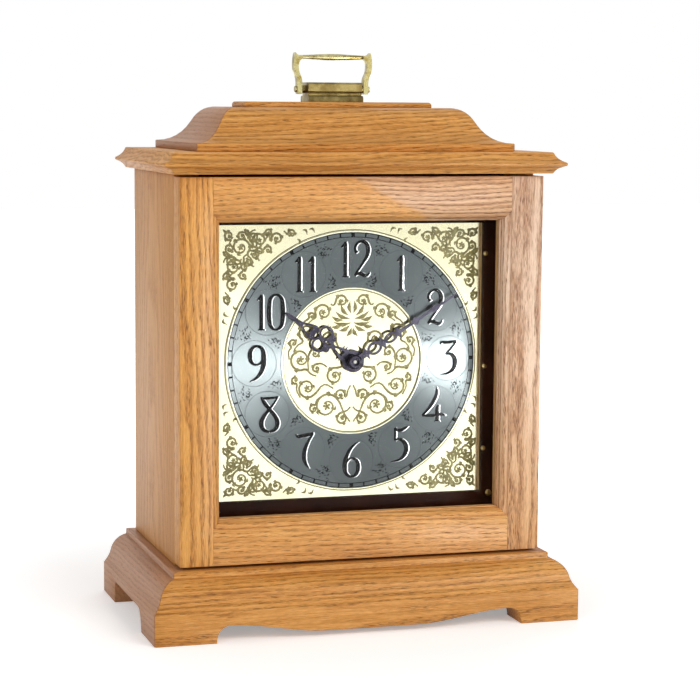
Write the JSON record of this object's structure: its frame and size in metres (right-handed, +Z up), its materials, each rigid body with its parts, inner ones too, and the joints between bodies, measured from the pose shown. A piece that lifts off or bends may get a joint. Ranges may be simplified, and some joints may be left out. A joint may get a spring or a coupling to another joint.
{
  "type": "bracket clock",
  "caption": "Wooden bracket clock: bracket-foot plinth, glazed hinged door, square brass dial with chapter ring, bell top, folding brass handle and battery movement behind a rear door.",
  "frame": {"origin": "centre of the overall box on the floor, under the feet", "axes": "+X to the right as seen from the front, +Y from the dial to the back, +Z up"},
  "size_m": [0.3184, 0.1898, 0.4151],
  "materials": {
    "front_oak": "satin varnished, golden",
    "side_oak": "satin varnished, paler",
    "plain_oak": "plain, unpolished",
    "dark_board": "dark stained board",
    "dial_brass": "pale lacquered, etched",
    "silvered_ring": "silvered, brushed",
    "black_steel": "blackened",
    "dark_brass": "dark patina",
    "antique_brass": "aged, soft polish",
    "hinge_brass": "polished",
    "strike_steel": "plain",
    "black_plastic": "matt black",
    "white_nylon": "natural",
    "circuit_green": "solder-masked board",
    "motor_copper": "enamelled copper coil on a steel core",
    "battery_jacket": "printed jacket, plain",
    "clear_glass": "clear float glass"
  },
  "bodies": {
    "case": {"plinth_front": "front_oak", "cornice_board": "front_oak", "bell_front": "front_oak", "bell_back": "front_oak", "top_plate": "front_oak", "plinth_left": "side_oak", "plinth_right": "side_oak", "plinth_back": "side_oak", "side_left": "side_oak", "side_right": "side_oak", "bell_left": "side_oak", "bell_right": "side_oak", "base_deck": "plain_oak", "rear_rail_top": "plain_oak", "rear_rail_bottom": "plain_oak", "dial_cleat_left": "plain_oak", "dial_cleat_right": "plain_oak", "dial_board": "dark_board", "dial_plate": "dial_brass", "chapter_ring": "silvered_ring", "handle_block": "dark_brass", "handle_pivot_left": "antique_brass", "handle_pivot_right": "antique_brass", "door_hinge_upper_case_leaf": "hinge_brass", "door_hinge_lower_case_leaf": "hinge_brass", "rear_hinge_upper_case_leaf": "hinge_brass", "rear_hinge_lower_case_leaf": "hinge_brass", "movement_nut": "hinge_brass", "door_magnet": "black_plastic", "movement_case": "black_plastic", "movement_cover": "black_plastic", "step_motor": "motor_copper", "circuit_board": "circuit_green"},
    "door": {"door_stile_left": "front_oak", "door_stile_right": "front_oak", "door_rail_top": "front_oak", "door_rail_bottom": "front_oak", "door_glass": "clear_glass", "glass_bead_top": "plain_oak", "glass_bead_left": "plain_oak", "glass_bead_bottom": "plain_oak", "glass_bead_right": "plain_oak", "door_hinge_upper_door_leaf": "hinge_brass", "door_hinge_lower_door_leaf": "hinge_brass", "door_strike": "strike_steel"},
    "rear_door": {"rear_door": "plain_oak", "rear_hinge_upper_door_leaf": "hinge_brass", "rear_hinge_lower_door_leaf": "hinge_brass"},
    "turn_button": {"turn_button": "hinge_brass"},
    "bail": {"handle_bail": "antique_brass"},
    "minute_work": {"minute_arbor": "white_nylon", "minute_hand": "black_steel", "hand_nut": "black_steel"},
    "hour_work": {"hour_wheel": "white_nylon", "hour_hand": "black_steel"},
    "motion_work": {"motion_wheel": "white_nylon"},
    "third_work": {"third_wheel": "white_nylon"},
    "set_knob": {"set_knob": "black_plastic"},
    "battery": {"battery": "battery_jacket"}
  },
  "joints": [
    {"name": "door_hinge", "type": "hinge", "parent": "case", "child": "door", "pos_m": [0.1384, -0.05175, 0.1883], "axis": [0, 0, 1], "range_deg": [0, 180]},
    {"name": "rear_door_hinge", "type": "hinge", "parent": "case", "child": "rear_door", "pos_m": [-0.1169, 0.08945, 0.1883], "axis": [0, 0, 1], "range_deg": [0, 180]},
    {"name": "turn_button_pivot", "type": "hinge", "parent": "case", "child": "turn_button", "pos_m": [0.1264, 0.08885, 0.1883], "axis": [0, 1, 0], "range_deg": [-90, 90]},
    {"name": "bail_pivot", "type": "hinge", "parent": "case", "child": "bail", "pos_m": [0, 0.01595, 0.3881], "axis": [1, 0, 0], "range_deg": [-100, 100]},
    {"name": "minute_spin", "type": "hinge", "parent": "case", "child": "minute_work", "pos_m": [0, -0.03965, 0.1908], "axis": [0, 1, 0], "continuous": true},
    {"name": "hour_spin", "type": "hinge", "parent": "case", "child": "hour_work", "pos_m": [0, -0.03965, 0.1908], "axis": [0, 1, 0], "continuous": true},
    {"name": "motion_spin", "type": "hinge", "parent": "case", "child": "motion_work", "pos_m": [-0.006, -0.0292, 0.20119], "axis": [0, 1, 0], "continuous": true},
    {"name": "third_spin", "type": "hinge", "parent": "case", "child": "third_work", "pos_m": [0.0097, -0.0262, 0.1964], "axis": [0, 1, 0], "continuous": true},
    {"name": "set_knob_spin", "type": "hinge", "parent": "case", "child": "set_knob", "pos_m": [-0.018, -0.0162, 0.20119], "axis": [0, 1, 0], "continuous": true},
    {"name": "battery_slide", "type": "slide", "parent": "case", "child": "battery", "axis": [0, 1, 0], "range_m": [0, 0.045]}
  ],
  "couplings": [
    {"joint": "motion_spin", "follows": "minute_spin", "ratio": -0.33333},
    {"joint": "hour_spin", "follows": "minute_spin", "ratio": 0.083333},
    {"joint": "set_knob_spin", "follows": "minute_spin", "ratio": 1},
    {"joint": "third_spin", "follows": "minute_spin", "ratio": -6}
  ]
}
